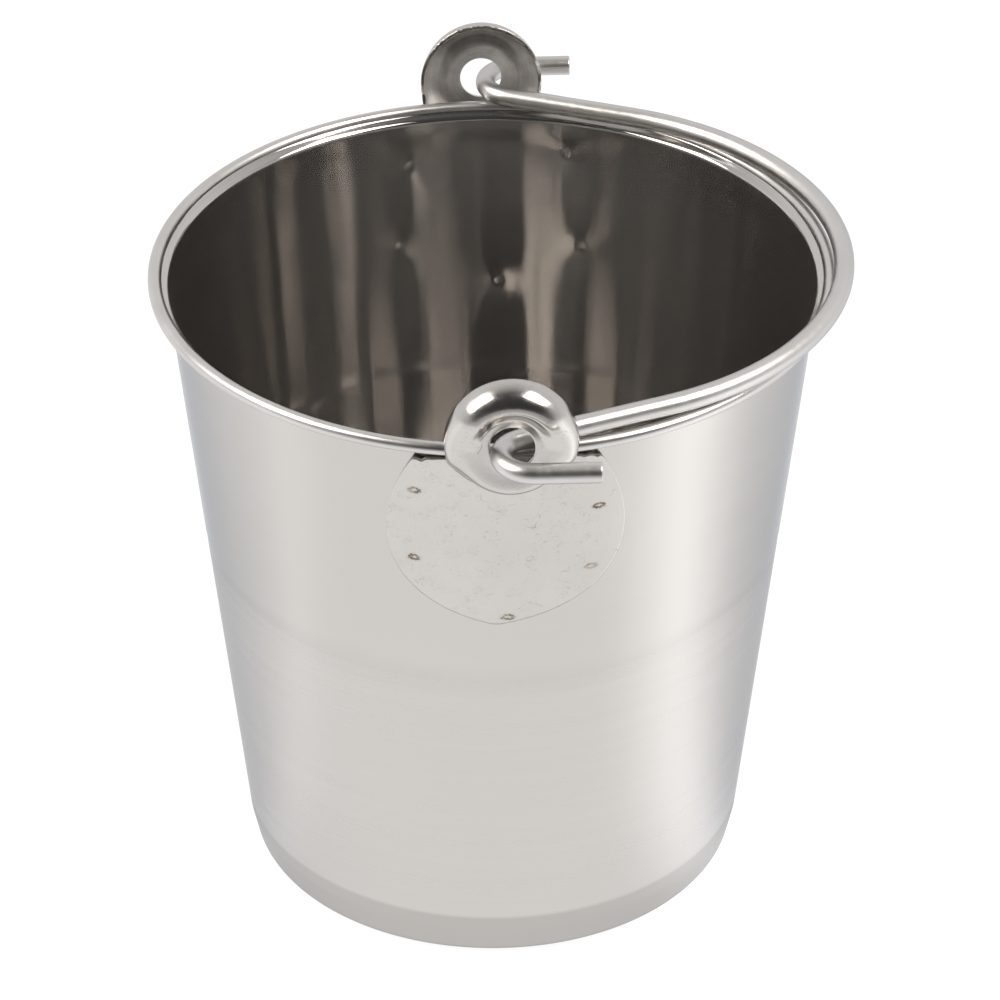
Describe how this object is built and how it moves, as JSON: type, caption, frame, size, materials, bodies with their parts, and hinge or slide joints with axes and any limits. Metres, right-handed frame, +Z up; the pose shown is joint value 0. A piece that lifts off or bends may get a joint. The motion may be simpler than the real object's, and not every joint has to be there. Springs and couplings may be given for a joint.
{
  "type": "feed bucket",
  "caption": "Tapered stainless steel feed bucket with a rolled rim, two spot-welded ears and a folding bent-wire bail handle.",
  "frame": {"origin": "centre of the flat base's underside", "axes": "+Z up along the bucket's axis; the ears are on +Y and -Y; the bail lies folded towards +X"},
  "size_m": [0.2889, 0.3372, 0.3093],
  "materials": {
    "shell_steel": "satin polished",
    "ear_steel": "stamped, lightly polished",
    "wire_steel": "drawn wire, bright"
  },
  "bodies": {
    "bucket": {"shell": "shell_steel", "ear_front": "ear_steel", "ear_rear": "ear_steel"},
    "bail": {"bail": "wire_steel"}
  },
  "joints": [
    {"name": "bail_swing", "type": "hinge", "parent": "bucket", "child": "bail", "pos_m": [0.0012, 0, 0.2815], "axis": [0, -1, 0], "range_deg": [0, 181.3]}
  ]
}
